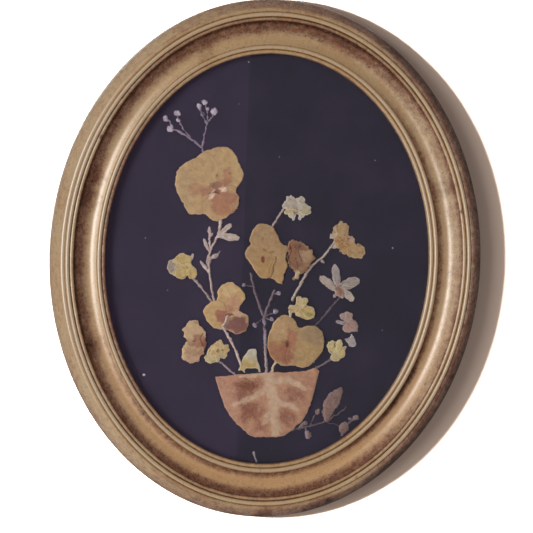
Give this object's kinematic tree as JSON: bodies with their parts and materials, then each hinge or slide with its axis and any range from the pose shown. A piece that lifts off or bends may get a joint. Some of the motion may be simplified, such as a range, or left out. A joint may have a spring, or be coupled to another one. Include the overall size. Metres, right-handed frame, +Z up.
{
  "type": "pressed flower frame",
  "caption": "Oval gilt picture frame with a glazed arrangement of pressed flowers in a leaf-cut pot on a dark card, with a sawtooth hanger behind.",
  "frame": {"origin": "where the wall nail bears in the middle notch of the sawtooth hanger, at the plane of the wall", "axes": "+Z up as the picture hangs, -Y out of the wall towards the viewer, +X to the viewer's right"},
  "size_m": [0.255, 0.0221, 0.304],
  "materials": {
    "antique_gold": "gilt wood, rubbed antique gold over a red-brown ground, satin",
    "clear_glass": "plain picture glass, polished",
    "dark_card": "navy-purple facing paper on card, matte",
    "hardboard": "brown hardboard, matte",
    "zinc": "zinc-plated, dull",
    "brassed_steel": "brass-plated, worn",
    "ochre_petal": "dried petal, ochre with rose-brown centre, matte",
    "yellow_petal": "dried petal, straw yellow, matte",
    "cream_petal": "dried petal, cream, matte",
    "brown_petal": "dried petal, tan and brown, matte",
    "mauve_petal": "dried petal and leaf, grey-mauve, matte",
    "white_petal": "dried petal, grey-white, matte",
    "rose_leaf": "dried leaf, rosy tan with pale veins, matte",
    "pale_stem": "dried stem, pale tan, matte",
    "lilac_twig": "dried twig, grey-lilac, matte"
  },
  "bodies": {
    "root": {"moulding": "antique_gold", "glass": "clear_glass", "ground_card": "dark_card", "backing_board": "hardboard", "sawtooth_hanger": "brassed_steel", "hanger_pin_left": "brassed_steel", "hanger_pin_right": "brassed_steel", "glazier_point_1": "zinc", "glazier_point_2": "zinc", "glazier_point_3": "zinc", "glazier_point_4": "zinc", "glazier_point_5": "zinc", "glazier_point_6": "zinc", "pot_leaf": "rose_leaf", "pansy_large": "ochre_petal", "pansy_left": "ochre_petal", "pansy_centre": "ochre_petal", "pansy_heart": "ochre_petal", "flower_orange": "ochre_petal", "flower_folded": "brown_petal", "flower_brown": "brown_petal", "flower_cream_top": "cream_petal", "flower_cream_rim": "cream_petal", "flower_white_star": "white_petal", "bud_grey": "white_petal", "stem_scrap": "white_petal", "flower_yellow_left": "yellow_petal", "flower_yellow_low_left": "yellow_petal", "flower_yellow_centre": "yellow_petal", "flower_yellow_right": "yellow_petal", "flower_pink": "mauve_petal", "sprig_low_right": "mauve_petal", "stem_leafy": "pale_stem", "stem_yellow_left": "pale_stem", "stem_pansy_left": "pale_stem", "stem_low_left": "pale_stem", "stem_cream_top": "pale_stem", "stem_orange": "pale_stem", "stem_heart": "pale_stem", "stem_white_star": "lilac_twig", "stem_yellow_right": "lilac_twig", "twig_forked": "lilac_twig", "sprig_top": "lilac_twig"}
  },
  "joints": []
}
